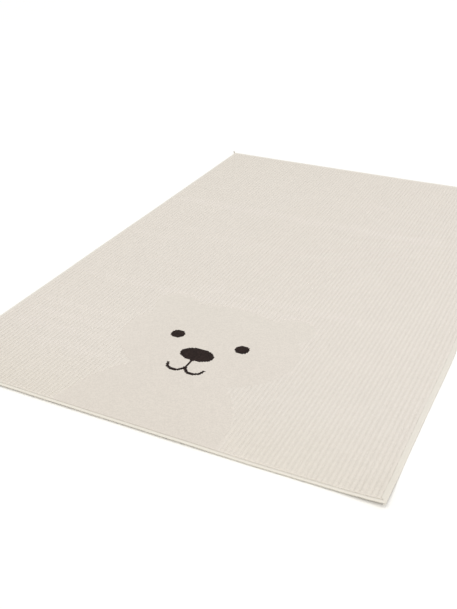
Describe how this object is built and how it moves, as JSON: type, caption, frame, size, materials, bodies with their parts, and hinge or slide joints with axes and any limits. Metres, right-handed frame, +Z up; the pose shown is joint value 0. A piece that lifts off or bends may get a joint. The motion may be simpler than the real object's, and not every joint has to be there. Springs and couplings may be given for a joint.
{
  "type": "kids rug with a bear motif",
  "caption": "Flat rectangular woven rug in cream yarn, with raised lengthwise ribs, a bear's head left flat at one short end and overlocked edges.",
  "frame": {"origin": "middle of the rug's underside, on the floor", "axes": "+X across the rug's width, +Y along its length from the bear's end to the plain end, +Z up"},
  "size_m": [1, 1.5, 0.0064],
  "materials": {
    "rug_yarn": "matt woven cream yarn with raised ribs",
    "edging_yarn": "matt overlocked yarn, slightly paler than the rug"
  },
  "bodies": {
    "root": {"rug_cloth": "rug_yarn", "edging_front": "edging_yarn", "edging_back": "edging_yarn", "edging_left": "edging_yarn", "edging_right": "edging_yarn"}
  },
  "joints": []
}
